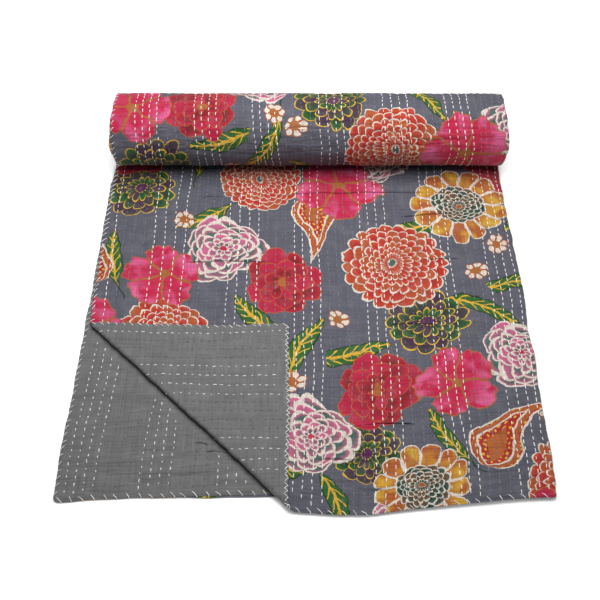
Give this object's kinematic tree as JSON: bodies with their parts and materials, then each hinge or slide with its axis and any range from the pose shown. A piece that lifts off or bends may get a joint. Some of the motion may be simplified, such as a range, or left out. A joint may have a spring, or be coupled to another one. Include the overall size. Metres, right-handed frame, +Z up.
{
  "type": "kantha quilt",
  "caption": "Kantha quilt of printed cotton with a plain backing, folded in half, rolled up from one end, with a front corner turned back.",
  "frame": {"origin": "centre of the quilt's box on its underside", "axes": "+Z up, +Y from the front hem towards the roll, +X towards the fold down the quilt's length"},
  "size_m": [0.7706, 0.8608, 0.149],
  "materials": {
    "printed_cotton": "matt cotton with a flowered print",
    "plain_cotton": "matt plain grey cotton"
  },
  "bodies": {
    "root": {"printed_top": "printed_cotton", "plain_backing": "plain_cotton"}
  },
  "joints": []
}
